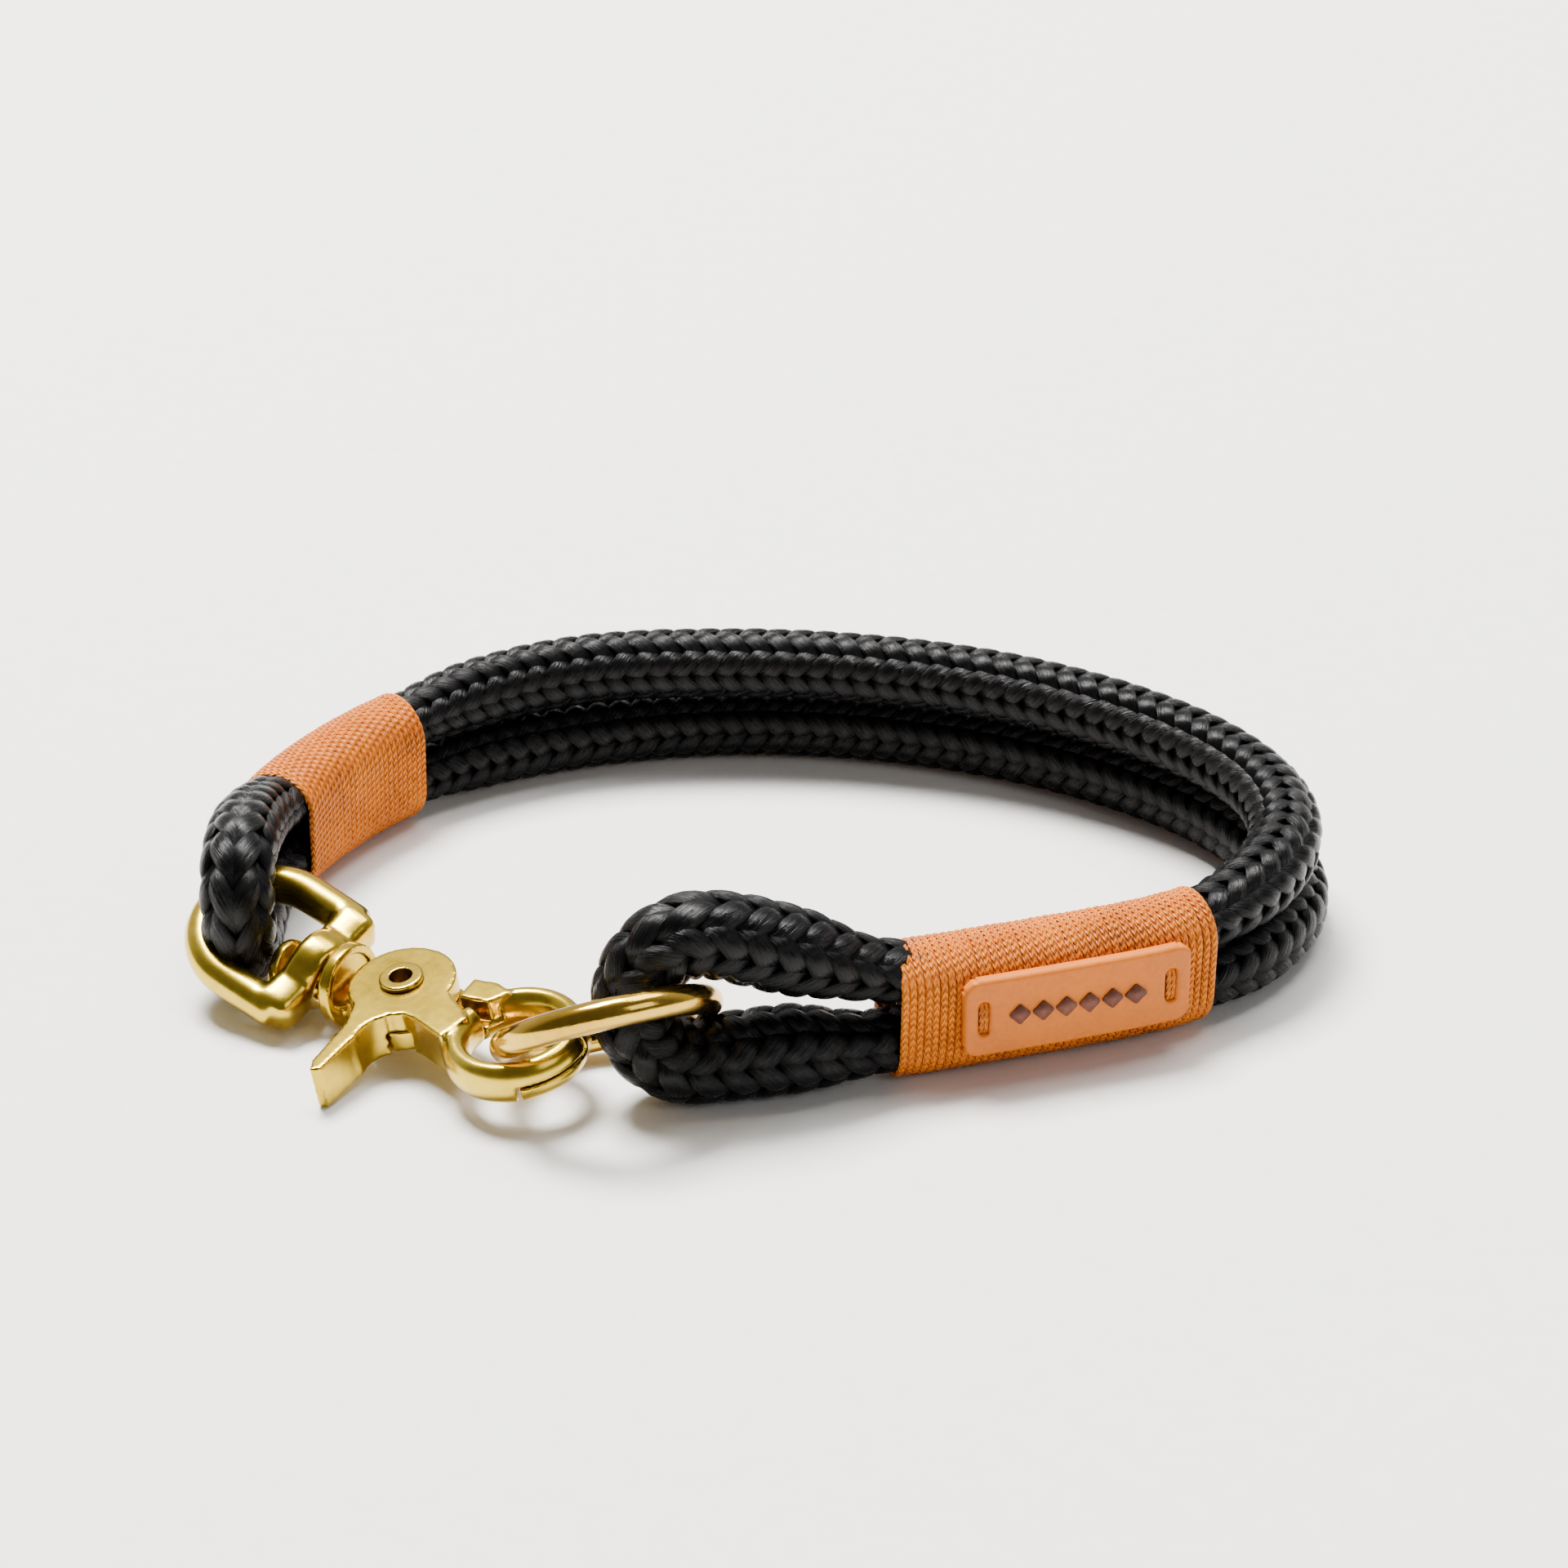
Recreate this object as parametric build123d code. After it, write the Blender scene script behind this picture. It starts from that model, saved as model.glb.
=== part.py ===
from build123d import *
from math import atan2, cos, degrees, pi, radians, sin, tan
import os

# Twin-strand rope dog collar: one braided rope doubled into an upper and a lower strand, seized with two
# twine whippings, carrying a swivelling scissor snap in one bight and an O-ring in the other.
# The collar lies closed on a flat surface, the snap clasped round the O-ring. Millimetres, +Z up,
# X along the collar's long side, origin on the surface under the middle of the whole collar.

# ---- driving dimensions -------------------------------------------------------------------------------
ROPE_D = 10.0             # rope at rest
CORE_D = 5.2              # rope core inside the braided sheath
SEIZED_W = 9.2            # rope squeezed by a whipping: width
SEIZED_H = 8.2            # rope squeezed by a whipping: height
SEIZED_GAP = 0.1          # between the two squeezed strands
NECK = [(9.5, 8.8), (9.8, 9.4)]   # stages from squeezed to full
NECK_STEP = 6.0

TWINE_D = 0.9             # whipping twine, one layer
WHIP_W = SEIZED_W + 2 * TWINE_D + 0.2
WHIP_H = 2 * SEIZED_H + SEIZED_GAP + 2 * TWINE_D + 0.2
SEIZED_LOW_Z = TWINE_D + 0.1 + SEIZED_H / 2
SEIZED_HIGH_Z = SEIZED_LOW_Z + SEIZED_H + SEIZED_GAP

RING_WIRE_D = 4.0
RING_R = 13.0             # O-ring, middle of the wire
RING_CENTRE = (-19.9, -43.5, 10.9)
RING_TURN = (-36.0, -13.0, 0.0)   # the ring leans back and to the left

SNAP_AT = (-46.1, -30.0, 6.5)     # rivet axis, middle of the body
SNAP_TURN = (10.0, -4.0, -32.0)    # roll about the stem, nose up, yaw
BODY_T = 6.2              # snap: full thickness of body and trigger
LAP_GAP = 0.3             # running clearance between body and trigger
DISC_R = 7.1              # round plates at the rivet
RIVET_HEAD_D = 5.8
RIVET_SHANK_D = 4.2
RIVET_BORE_D = 3.0
RIVET_HEAD_H = 0.8
HOOK_AT = (19.2, -2.8)    # middle of the hook, from the rivet
HOOK_R = 7.7              # middle of the jaws' rounded stock
HOOK_STOCK = (3.6, 5.7)   # its width and height

SPRING_R = 3.5            # torsion spring round the rivet
SPRING_WIRE_D = 0.6
SPRING_TURNS = 3
SPRING_ROOM = 2.6

EYE_ROLL = 11.0          # the eye's own turn about the stem
EYE_PITCH = 19.0          # its tilt in the loose bore
EYE_YAW = -5.0
EYE_SIDE = 0.4            # where the eye sits in its play on the stem
EYE_LIFT = 0.9
EYE_BAR_X = -14.2
EYE_HALF_W = 8.4          # stem axis to the middle of an arm
EYE_BOW_X = -22.8         # where the arms run into the bow
EYE_STOCK = 4.6
EYE_BOSS_R = 5.0
STEM_R = 1.6
EYE_PLAY = 1.9            # the stem turns loosely in the cast eye
STEM_HEAD_R = 3.9
FLANGE_R = 5.5
FLANGE_X = -9.3
LABEL = (30.0, 11.0, 1.5)         # length, height, thickness
LABEL_START = 8.0         # along the ring-side whipping, from its back end
LABEL_Z = 10.0
SLOT = (1.0, 4.6)
RELIEF_COUNT = 6
RELIEF_STEP = 3.1

# ---- the rope's route ---------------------------------------------------------------------------------
# Lower strand from the butt joint in the ring-side whipping, round the back, through the hook-side
# whipping, the bight in the swivel eye, back as the upper strand, and the bight in the O-ring.
LOW = ROPE_D / 2
ROUTE = [
    (44.3, -27.8, SEIZED_LOW_Z),
    (52.3, -25.0, SEIZED_LOW_Z),
    (63.9, -16.2, LOW),
    (71.1, -3.0, LOW),
    (69.8, 10.5, LOW),
    (61.3, 24.5, LOW),
    (47.8, 36.2, LOW),
    (31.3, 45.0, LOW),
    (12.3, 50.3, LOW),
    (-7.7, 51.5, LOW),
    (-27.7, 47.2, LOW),
    (-44.5, 39.4, SEIZED_LOW_Z),
    (-56.4, 27.7, SEIZED_LOW_Z),
    (-65.4, 12.7, SEIZED_LOW_Z),
    (-68.4, 1.0, SEIZED_LOW_Z),
    (-68.7, -7.5, LOW),
    (-68.5, -15.0, 5.2),
    (-68.4, -19.3, 9.4),
    (-68.5, -19.4, 15.0),
    (-68.6, -15.2, 18.9),
    (-68.5, -8.0, 18.7),
    (-68.2, 1.0, 16.4),
    (-65.4, 12.7, SEIZED_HIGH_Z),
    (-56.4, 27.7, SEIZED_HIGH_Z),
    (-44.5, 40.1, 14.2),
    (-27.2, 48.0, 15.2),
    (-7.2, 49.6, 15.2),
    (11.8, 48.3, 15.2),
    (30.6, 43.3, 15.2),
    (46.5, 35.0, 15.2),
    (59.9, 23.8, 15.2),
    (68.3, 10.4, 15.2),
    (69.5, -3.6, 15.2),
    (63.3, -16.6, 14.8),
    (52.3, -25.0, SEIZED_HIGH_Z),
    (35.3, -31.0, SEIZED_HIGH_Z),
    (16.3, -37.0, 13.8),
    (1.0, -40.6, 20.6),
    (-10.3, -43.2, 24.6),
    (-16.9, -43.9, 18.2),
    (-16.9, -44.1, 10.4),
    (-10.9, -44.0, 5.0),
    (2.8, -41.2, 5.0),
    (17.3, -37.0, SEIZED_LOW_Z),
    (35.3, -31.0, SEIZED_LOW_Z),
    (44.1, -27.9, SEIZED_LOW_Z),
]

# Runs in whose middle the sheath is divided, all hidden in the whippings.
RING_WHIP_LOW = 0
HOOK_WHIP_LOW = 12
HOOK_WHIP_HIGH = 22
RING_WHIP_HIGH = 34
LAST_RUN = len(ROUTE) - 2


def corner_radius(i):
    before = Vector(*ROUTE[i]) - Vector(*ROUTE[i - 1])
    after = Vector(*ROUTE[i + 1]) - Vector(*ROUTE[i])
    turn = radians(before.get_angle(after))
    return 0.45 * min(before.length, after.length) / tan(turn / 2)


def mid_run(i):
    if i == 0:
        return Vector(*ROUTE[0])
    if i == LAST_RUN:
        return Vector(*ROUTE[-1])
    return (Vector(*ROUTE[i]) + Vector(*ROUTE[i + 1])) / 2


def route_wire(first, last, level=None):
    """The rope's middle line from the middle of one run to the middle of a later one, or its plan."""
    corners = range(first + 1, last + 1)
    points = [mid_run(first)] + [Vector(*ROUTE[i]) for i in corners] + [mid_run(last)]
    if level is not None:
        points = [Vector(p.X, p.Y, level) for p in points]
    line = FilletPolyline(*points, radius=[corner_radius(i) for i in corners])
    return Wire(line.edges())


def section_plane(wire, length):
    """A plane across the wire at a distance along it, its X axis level."""
    u = length / wire.length
    ahead = wire.tangent_at(u)
    level = Vector(ahead.Y, -ahead.X, 0)
    if level.length < 0.01:
        level = Vector(1, 0, 0)
    return Plane(origin=wire.position_at(u), x_dir=level, z_dir=ahead)


def part_of(wire, start, end):
    return wire.trim(start / wire.length, end / wire.length)


def oval(width, height):
    return Circle(width / 2) if abs(width - height) < 1e-6 else Ellipse(width / 2, height / 2)


def tube(wire, start, end, width, height):
    """A constant section swept along part of the wire."""
    return sweep(section_plane(wire, start) * oval(width, height), path=part_of(wire, start, end))


def rope_span(first, last, squeezed_start, squeezed_end):
    """One span of sheath, squeezed at both ends where the whippings hold it, hollow for the core."""
    wire = route_wire(first, last)
    stages = [(SEIZED_W, SEIZED_H)] + NECK + [(ROPE_D, ROPE_D)]
    stops = [0] + [squeezed_start + k * NECK_STEP for k in range(len(NECK) + 1)]
    back = [wire.length - squeezed_end - k * NECK_STEP for k in range(len(NECK), -1, -1)]
    stops += back + [wire.length]
    stages += stages[-2::-1]
    span = tube(wire, stops[0], stops[1], *stages[0])
    for k in range(1, len(stages)):
        span += tube(wire, stops[k], stops[k + 1], *stages[k])
    return span - tube(wire, 0, wire.length, CORE_D, CORE_D)


def rope_core():
    wire = route_wire(0, LAST_RUN)
    core = tube(wire, 0, wire.length, CORE_D, CORE_D)
    section = pi * CORE_D**2 / 4
    radii = [corner_radius(i) for i in range(1, LAST_RUN + 1)]
    print("corner radii", ", ".join(f"{radius:.0f}" for radius in radii))
    print(f"tightest corner {min(radii):.1f} mm, rope middle line {wire.length:.1f} mm")
    print(f"core volume {core.volume:.0f}, section x length {section * wire.length:.0f} mm3")
    return core


def stadium(width, height):
    return SlotOverall(height, width, rotation=90)


def whipping(wire, start, end):
    """A layer of twine wound round both strands."""
    plane = section_plane(wire, start)
    wall = stadium(WHIP_W, WHIP_H) - stadium(SEIZED_W + 0.1, 2 * SEIZED_H + SEIZED_GAP + 0.1)
    return sweep(plane * wall, path=part_of(wire, start, end))


def label_wire():
    return route_wire(RING_WHIP_HIGH - 1, RING_WHIP_HIGH + 2, WHIP_H / 2)


def label_spot(along, out, height=LABEL_Z):
    """A frame on the label: X along it, Y up, Z straight out from the whipping."""
    wire = label_wire()
    plane = section_plane(wire, along)
    origin = plane.origin + plane.x_dir * -out + Vector(0, 0, height - WHIP_H / 2)
    return Plane(origin=origin, x_dir=plane.z_dir, z_dir=plane.x_dir * -1)


def label_plate():
    length, height, thick = LABEL
    wire = label_wire()
    plane = section_plane(wire, LABEL_START)
    origin = plane.origin + plane.x_dir * -(WHIP_W / 2 + thick / 2) + Vector(0, 0, LABEL_Z - WHIP_H / 2)
    strip = Plane(origin=origin, x_dir=plane.x_dir, z_dir=plane.z_dir) * Rectangle(thick, height)
    plate = sweep(strip, path=part_of(wire, LABEL_START, LABEL_START + length))
    short = [e for e in plate.edges() if abs(e.length - thick) < 0.05]
    plate = fillet(short, 2.0)
    for along in (2.6, length - 2.6):
        cutter = label_spot(LABEL_START + along, WHIP_W / 2 + thick / 2)
        plate -= cutter * Box(SLOT[0], SLOT[1], 2 * thick)
    return plate


def label_relief():
    """A plain row of raised lozenges."""
    length, height, thick = LABEL
    first = LABEL_START + length / 2 - RELIEF_STEP * (RELIEF_COUNT - 1) / 2
    marks = []
    for k in range(RELIEF_COUNT):
        spot = label_spot(first + k * RELIEF_STEP, WHIP_W / 2 + thick + 0.2)
        marks.append(spot * Box(1.9, 1.9, 0.7).rotate(Axis.Z, 45))
    return Compound(marks)


def label_stitches():
    """Two lengths of twine that hold the label, one in each slot."""
    length, height, thick = LABEL
    ties = []
    for along in (2.6, length - 2.6):
        spot = label_spot(LABEL_START + along, WHIP_W / 2 + thick / 2 + 0.1)
        ties.append(spot * Box(SLOT[0] - 0.1, SLOT[1] - 0.2, thick - 0.3))
    return Compound(ties)


def wedge(centre, start, end, reach=30.0):
    """A sector of a circle, from one direction to another, in degrees."""
    cx, cy = centre
    steps = 8
    rim = [start + (end - start) * k / steps for k in range(steps + 1)]
    points = [(cx + reach * cos(radians(a)), cy + reach * sin(radians(a))) for a in rim]
    return make_face(Polyline((cx, cy), *points, close=True))


def hook_stock(start, end):
    """Part of the round hook, its stock an upright oval."""
    stock = Plane.XZ * Pos(HOOK_R, 0) * Ellipse(HOOK_STOCK[0] / 2, HOOK_STOCK[1] / 2)
    ring = Pos(*HOOK_AT) * revolve(stock, Axis.Z)
    return ring & slab(wedge(HOOK_AT, start, end), -BODY_T, BODY_T)


def slab(sketch, bottom, top):
    return extrude(Pos(0, 0, bottom) * sketch, top - bottom)


def shank_bore():
    return Cylinder(RIVET_SHANK_D / 2 + 0.06, 2 * BODY_T)


def spring_pocket():
    """The ring-shaped recess for the spring, half in each part."""
    return Cylinder(SPRING_R + 0.7, SPRING_ROOM) - Cylinder(SPRING_R - 0.7, SPRING_ROOM)


def layer(bottom, top):
    """Everything between two levels, for cutting the half laps."""
    return Pos(10, 0, (bottom + top) / 2) * Box(80, 80, top - bottom)


def trigger():
    half = BODY_T / 2
    lap = LAP_GAP / 2
    neck_shape = make_face(Polyline((2.0, -5.5), (5.5, 1.5), (8.9, -0.8), (12.7, -3.4), (11.6, -8.0), (6.0, -6.0),
                                    close=True))
    lever = make_face(Polyline((-3.4, -6.0), (-1.9, -10.0), (-1.7, -14.0), (-1.5, -17.8), (-0.6, -19.6),
                               (0.6, -19.0), (0.8, -13.0), (1.4, -9.0), (2.6, -6.2), (3.0, -3.0), (-2.0, -3.0),
                               close=True))
    body = slab(Circle(DISC_R) + neck_shape + lever, lap, half)
    body += slab((neck_shape + lever) - Circle(DISC_R + 0.4) - wedge((0, 0), -22, 90), -half, half)
    body += hook_stock(168, 303)
    body += hook_stock(300, 372) & layer(lap, half)
    notch = Pos(4.9, -10.4) * Circle(4.2)
    body -= slab(notch, -half - 1, half + 1)
    body -= slab(Circle(DISC_R + 0.4), -half - 1, lap)
    return body - shank_bore() - spring_pocket()


def snap_body():
    half = BODY_T / 2
    lap = LAP_GAP / 2
    link = make_face(Polyline((0.0, 6.4), (9.0, 3.7), (12.0, 3.0), (9.5, -0.3), (4.0, -3.0), close=True))
    block = make_face(Polyline((9.0, -0.2), (8.8, 3.7), (12.4, 4.1), (15.2, 3.0), (13.4, 0.2), close=True))
    body = slab(Circle(DISC_R - 0.2) + link + block, -half, -lap)
    body += slab(block - Circle(DISC_R + 0.4), -half, half)
    body += hook_stock(15, 140)
    body += (hook_stock(-54, 22) + hook_stock(135, 165)) & layer(-half, -lap)
    web = Pos(-6.8, 0, -half / 2 - lap / 2) * Box(4.0, 6.4, half - lap)
    turned = Rot(0, 90, 0)
    flange = Pos(FLANGE_X, 0, 0) * turned * Cylinder(FLANGE_R, 1.8)
    stem = Pos(FLANGE_X - 5.0, 0, 0) * turned * Cylinder(STEM_R, 9.0)
    head = Pos(FLANGE_X - 9.6, 0, 0) * turned * Cylinder(STEM_HEAD_R, 1.4)
    body = body + web + flange + stem + head
    hollow = Pos(FLANGE_X + 0.9, 0, FLANGE_R / 2 + 0.2) * turned * Cylinder(FLANGE_R, 1.4)
    hollow &= Pos(FLANGE_X + 0.9, 0, 0) * turned * Cylinder(FLANGE_R - 1.2, 1.4)
    return body - hollow - shank_bore() - spring_pocket()


def rivet():
    """Tubular rivet with a rolled rim at each end."""
    half = BODY_T / 2
    shank = Cylinder(RIVET_SHANK_D / 2, BODY_T + 2 * RIVET_HEAD_H)
    rims = Pos(0, 0, half + RIVET_HEAD_H / 2 + 0.02) * Cylinder(RIVET_HEAD_D / 2, RIVET_HEAD_H)
    rims += Pos(0, 0, -half - RIVET_HEAD_H / 2 - 0.02) * Cylinder(RIVET_HEAD_D / 2, RIVET_HEAD_H)
    rims = fillet(rims.edges().filter_by(GeomType.CIRCLE), 0.3)
    return shank + rims - Cylinder(RIVET_BORE_D / 2, 2 * BODY_T)


def torsion_spring():
    height = SPRING_TURNS * SPRING_WIRE_D * 1.15
    helix = Helix(pitch=SPRING_WIRE_D * 1.15, height=height, radius=SPRING_R)
    section = Plane(origin=helix @ 0, z_dir=helix % 0) * Circle(SPRING_WIRE_D / 2)
    return Pos(0, 0, -height / 2) * sweep(section, path=helix, is_frenet=True)


def swivel_eye():
    side = EYE_HALF_W
    start = Vector(EYE_BAR_X, -side, 0)
    turn_in = Vector(EYE_BOW_X, -side, 0)
    turn_out = Vector(EYE_BOW_X, side, 0)
    end = Vector(EYE_BAR_X, side, 0)
    bow = Line(start, turn_in) + ThreePointArc(turn_in, (EYE_BOW_X - side, 0, 0), turn_out) + Line(turn_out, end)
    arms = sweep(Plane(origin=start, z_dir=(-1, 0, 0)) * Circle(EYE_STOCK / 2), path=Wire(bow.edges()))
    bar = Pos(EYE_BAR_X - 0.3, 0, 0) * Box(5.0, 2 * side + 2.0, 5.4)
    bar = fillet(bar.edges(), 1.2)
    turned = Rot(0, 90, 0)
    boss = Pos(EYE_BAR_X, 0, 0) * turned * Cylinder(EYE_BOSS_R, 4.6)
    boss = fillet(boss.edges(), 0.8)
    sink = Pos(EYE_BAR_X + 2.3, 0, 0) * turned * Cylinder(STEM_R + 1.4, 1.6)
    return arms + bar + boss - sink - Pos(EYE_BAR_X, 0, 0) * turned * Cylinder(STEM_R + EYE_PLAY, 8.0)


def o_ring():
    return Torus(RING_R, RING_WIRE_D / 2)


# ---- places -------------------------------------------------------------------------------------------
ON_SNAP = Pos(*SNAP_AT) * Rot(0, 0, SNAP_TURN[2]) * Rot(0, SNAP_TURN[1], 0) * Rot(SNAP_TURN[0], 0, 0)
EYE_TURN = Rot(0, EYE_PITCH, EYE_YAW) * Rot(EYE_ROLL, 0, 0)
ON_EYE = ON_SNAP * Pos(EYE_BAR_X, EYE_SIDE, EYE_LIFT) * EYE_TURN * Pos(-EYE_BAR_X, 0, 0)
ON_RING = Location(RING_CENTRE, RING_TURN)

hook_whip = route_wire(11, 13, WHIP_H / 2)
ring_whip = label_wire()
parts = {
    "rope_lower_run": rope_span(RING_WHIP_LOW, HOOK_WHIP_LOW, 12, 18),
    "rope_hook_bight": rope_span(HOOK_WHIP_LOW, HOOK_WHIP_HIGH, 22, 15),
    "rope_upper_run": rope_span(HOOK_WHIP_HIGH, RING_WHIP_HIGH, 18, 16),
    "rope_ring_bight": rope_span(RING_WHIP_HIGH, LAST_RUN, 25, 28),
    "rope_core": rope_core(),
    "whipping_hook_side": whipping(hook_whip, 1.0, hook_whip.length - 2.0),
    "whipping_ring_side": whipping(ring_whip, 3.6, 45.6),
    "label_plate": label_plate(),
    "label_relief": label_relief(),
    "label_stitches": label_stitches(),
    "swivel_eye": ON_EYE * swivel_eye(),
    "snap_body": ON_SNAP * snap_body(),
    "trigger": ON_SNAP * trigger(),
    "rivet": ON_SNAP * rivet(),
    "torsion_spring": ON_SNAP * torsion_spring(),
    "o_ring": ON_RING * o_ring(),
}

os.makedirs("parts", exist_ok=True)
for name, shape in parts.items():
    export_step(shape, f"parts/{name}.step")
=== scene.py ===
from math import cos, pi, radians, sin, tau

import bmesh
import bpy
import numpy as np
from mathutils import Matrix, Vector, noise


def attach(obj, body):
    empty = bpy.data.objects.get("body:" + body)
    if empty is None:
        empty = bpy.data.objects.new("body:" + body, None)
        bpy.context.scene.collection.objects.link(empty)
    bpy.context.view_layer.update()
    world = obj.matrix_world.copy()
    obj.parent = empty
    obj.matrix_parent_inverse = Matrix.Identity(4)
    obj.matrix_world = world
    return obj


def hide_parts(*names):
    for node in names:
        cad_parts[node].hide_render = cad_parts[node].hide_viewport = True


# The looks of a twin-strand rope dog collar: braided sheath, whippings, label and cast brass snap.
# The scene is in metres, in the CAD part's frame. Sizes here are in millimetres and are scaled by MM once.

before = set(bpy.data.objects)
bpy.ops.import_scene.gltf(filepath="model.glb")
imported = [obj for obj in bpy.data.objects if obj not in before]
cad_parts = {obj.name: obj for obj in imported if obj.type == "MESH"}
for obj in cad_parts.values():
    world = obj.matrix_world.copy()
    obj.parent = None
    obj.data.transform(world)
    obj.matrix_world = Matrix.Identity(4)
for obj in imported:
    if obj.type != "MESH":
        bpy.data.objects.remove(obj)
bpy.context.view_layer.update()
scene = bpy.context.scene
MM = 0.001

# ---- driving dimensions, millimetres ------------------------------------------------------------
ROPE_D = 10.0
SEIZED_W = 9.2
SEIZED_H = 8.2
TWINE_D = 0.98
TWINE_PITCH = 1.0
WHIP_W = 11.2
WHIP_H = 18.5
LOW = ROPE_D / 2
SEIZED_LOW_Z = 5.1
SEIZED_HIGH_Z = 13.4
LABEL = (30.0, 11.0, 1.5)
LABEL_START = 8.0
LABEL_Z = 10.0
RELIEF_COUNT = 6
RELIEF_STEP = 3.1

# The rope's route, from the butt joint in the ring-side whipping round and back to it.
ROUTE = [
    (44.3, -27.8, SEIZED_LOW_Z), (52.3, -25.0, SEIZED_LOW_Z), (63.9, -16.2, LOW), (71.1, -3.0, LOW),
    (69.8, 10.5, LOW), (61.3, 24.5, LOW), (47.8, 36.2, LOW), (31.3, 45.0, LOW), (12.3, 50.3, LOW),
    (-7.7, 51.5, LOW), (-27.7, 47.2, LOW), (-44.5, 39.4, SEIZED_LOW_Z), (-56.4, 27.7, SEIZED_LOW_Z),
    (-65.4, 12.7, SEIZED_LOW_Z), (-68.4, 1.0, SEIZED_LOW_Z), (-68.7, -7.5, LOW), (-68.5, -15.0, 5.2),
    (-68.4, -19.3, 9.4), (-68.5, -19.4, 15.0), (-68.6, -15.2, 18.9), (-68.5, -8.0, 18.7),
    (-68.2, 1.0, 16.4), (-65.4, 12.7, SEIZED_HIGH_Z), (-56.4, 27.7, SEIZED_HIGH_Z), (-44.5, 40.1, 14.2),
    (-27.2, 48.0, 15.2), (-7.2, 49.6, 15.2), (11.8, 48.3, 15.2), (30.6, 43.3, 15.2), (46.5, 35.0, 15.2),
    (59.9, 23.8, 15.2), (68.3, 10.4, 15.2), (69.5, -3.6, 15.2), (63.3, -16.6, 14.8),
    (52.3, -25.0, SEIZED_HIGH_Z), (35.3, -31.0, SEIZED_HIGH_Z), (16.3, -37.0, 13.8), (1.0, -40.6, 20.6),
    (-10.3, -43.2, 24.6), (-16.9, -43.9, 18.2), (-16.9, -44.1, 10.4), (-10.9, -44.0, 5.0), (2.8, -41.2, 5.0),
    (17.3, -37.0, SEIZED_LOW_Z), (35.3, -31.0, SEIZED_LOW_Z), (44.1, -27.9, SEIZED_LOW_Z),
]

# ---- camera -------------------------------------------------------------------------------------
ELEVATION = 28.0
DISTANCE = 0.652
TARGET = Vector((2.3, 41.0, 0.0)) * MM

camera_data = bpy.data.cameras.new("camera")
camera_data.lens = 105
camera_data.sensor_width = 36
camera_data.clip_end = 20
camera = bpy.data.objects.new("camera", camera_data)
scene.collection.objects.link(camera)
toward = Vector((0, cos(radians(ELEVATION)), -sin(radians(ELEVATION))))
camera.location = TARGET - toward * DISTANCE
camera.rotation_euler = (radians(90 - ELEVATION), 0, 0)
scene.camera = camera


# ---- mesh tools ---------------------------------------------------------------------------------
def link(mesh, name, material):
    obj = bpy.data.objects.new(name, mesh)
    mesh.materials.append(material)
    mesh.shade_smooth()
    scene.collection.objects.link(obj)
    return obj


def swept_mesh(name, tubes, uvs=None):
    """One mesh of several tubes. Each tube is an array rings x points x 3, in millimetres."""
    points, loops, mapped = [], [], []
    start = 0
    for t, tube in enumerate(tubes):
        rings, around, _ = tube.shape
        points.append(tube.reshape(-1, 3) * MM)
        i = np.arange(rings - 1)[:, None]
        j = np.arange(around)[None, :]
        k = (j + 1) % around
        quads = np.stack([i * around + j, i * around + k, (i + 1) * around + k, (i + 1) * around + j], -1)
        loops.append(quads.reshape(-1, 4) + start)
        if uvs is not None:
            along = uvs[t]
            u = np.stack([j + 0 * i, j + 1 + 0 * i, j + 1 + 0 * i, j + 0 * i], -1) / around
            v = np.stack([along[i + 0 * j], along[i + 0 * j], along[i + 1 + 0 * j], along[i + 1 + 0 * j]], -1)
            mapped.append(np.stack([u, v], -1).reshape(-1, 2))
        start += rings * around
    points = np.concatenate(points)
    quads = np.concatenate(loops)
    ends = []
    start = 0
    for tube in tubes:
        rings, around, _ = tube.shape
        ends.append(list(range(start + around - 1, start - 1, -1)))
        ends.append(list(range(start + (rings - 1) * around, start + rings * around)))
        start += rings * around
    mesh = bpy.data.meshes.new(name)
    count = len(quads)
    mesh.vertices.add(len(points))
    mesh.vertices.foreach_set("co", points.astype(np.float32).ravel())
    corners = np.concatenate([quads.ravel()] + [np.array(e) for e in ends])
    mesh.loops.add(len(corners))
    mesh.loops.foreach_set("vertex_index", corners.astype(np.int32))
    sizes = np.array([4] * count + [len(e) for e in ends])
    mesh.polygons.add(len(sizes))
    mesh.polygons.foreach_set("loop_start", np.concatenate([[0], np.cumsum(sizes)[:-1]]).astype(np.int32))
    mesh.polygons.foreach_set("loop_total", sizes.astype(np.int32))
    if uvs is not None:
        layer = mesh.uv_layers.new(name="UVMap")
        flat = np.concatenate(mapped + [np.zeros((len(corners) - count * 4, 2))])
        layer.data.foreach_set("uv", flat.astype(np.float32).ravel())
    mesh.update(calc_edges=True)
    mesh.validate()
    return mesh


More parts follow.
